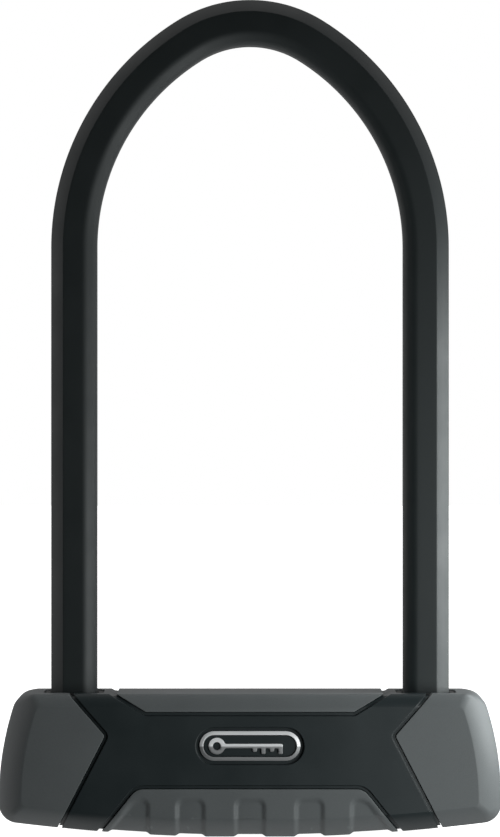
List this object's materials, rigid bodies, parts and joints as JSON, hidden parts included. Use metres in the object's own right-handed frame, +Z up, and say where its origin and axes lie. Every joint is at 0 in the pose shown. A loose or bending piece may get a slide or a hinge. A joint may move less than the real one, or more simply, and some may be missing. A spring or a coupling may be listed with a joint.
{
  "type": "u lock",
  "caption": "Bicycle U lock: plastic-sleeved steel shackle with a pointed arch that plugs into a covered crossbar and is held by two key-driven bolts.",
  "frame": {"origin": "bottom centre of the body, on the two flat finger lands it stands on", "axes": "+X along the crossbar, -Y towards the badge side, +Z up the shackle's legs"},
  "size_m": [0.1762, 0.038, 0.294],
  "materials": {
    "sleeve_black": "satin soft plastic skin over the steel bar",
    "cover_black": "satin soft-touch plastic",
    "panel_grey": "satin soft-touch plastic",
    "seal_black": "matt rubber",
    "badge_silver": "satin plated",
    "hardened_steel": "ground and hardened",
    "housing_steel": "plain drawn tube",
    "guide_plastic": "moulded nylon",
    "brass": "machined"
  },
  "bodies": {
    "lock_body": {"front_shell": "cover_black", "rear_shell": "cover_black", "right_end_cap": "panel_grey", "left_end_cap": "panel_grey", "top_trim": "panel_grey", "bottom_grip": "panel_grey", "right_collar": "seal_black", "left_collar": "seal_black", "badge_rim": "badge_silver", "badge_plate": "cover_black", "badge_emblem": "badge_silver", "keyhole_escutcheon": "cover_black", "lock_housing": "housing_steel", "right_end_plug": "housing_steel", "left_end_plug": "housing_steel", "right_foot_guide": "guide_plastic", "left_foot_guide": "guide_plastic", "right_bolt_guide": "guide_plastic", "left_bolt_guide": "guide_plastic", "cylinder_body": "brass", "front_retaining_pin": "hardened_steel", "rear_retaining_pin": "hardened_steel"},
    "shackle": {"shackle_sleeve": "sleeve_black", "shackle_bar": "hardened_steel"},
    "right_bolt": {"right_bolt": "hardened_steel", "right_drive_pin": "hardened_steel"},
    "left_bolt": {"left_bolt": "hardened_steel", "left_drive_pin": "hardened_steel"},
    "core": {"cylinder_core": "brass", "core_tail": "hardened_steel", "drive_cam": "hardened_steel", "drill_guard": "hardened_steel", "code_disc_1": "brass", "code_disc_2": "brass", "code_disc_3": "brass", "code_disc_4": "brass", "code_disc_5": "brass", "code_disc_6": "brass", "disc_spacer_1": "hardened_steel", "disc_spacer_2": "hardened_steel", "disc_spacer_3": "hardened_steel", "disc_spacer_4": "hardened_steel", "disc_spacer_5": "hardened_steel"},
    "sidebar": {"sidebar": "hardened_steel"},
    "shutter": {"keyhole_shutter": "cover_black"}
  },
  "joints": [
    {"name": "shackle_pull", "type": "slide", "parent": "lock_body", "child": "shackle", "axis": [0, 0, 1], "range_m": [0, 0.06]},
    {"name": "core_turn", "type": "hinge", "parent": "lock_body", "child": "core", "pos_m": [0, 0, 0.02], "axis": [0, 0, 1], "range_deg": [0, 90]},
    {"name": "right_bolt_slide", "type": "slide", "parent": "lock_body", "child": "right_bolt", "axis": [1, 0, 0], "range_m": [0, 0.0055]},
    {"name": "left_bolt_slide", "type": "slide", "parent": "lock_body", "child": "left_bolt", "axis": [-1, 0, 0], "range_m": [0, 0.0055]},
    {"name": "sidebar_slide", "type": "slide", "parent": "core", "child": "sidebar", "axis": [0, 1, 0], "range_m": [0, 0.001]},
    {"name": "shutter_slide", "type": "slide", "parent": "lock_body", "child": "shutter", "axis": [1, 0, 0], "range_m": [0, 0.0038]}
  ],
  "couplings": [
    {"joint": "right_bolt_slide", "follows": "core_turn", "m_per_rad": 0.0035},
    {"joint": "left_bolt_slide", "follows": "core_turn", "m_per_rad": 0.0035}
  ]
}
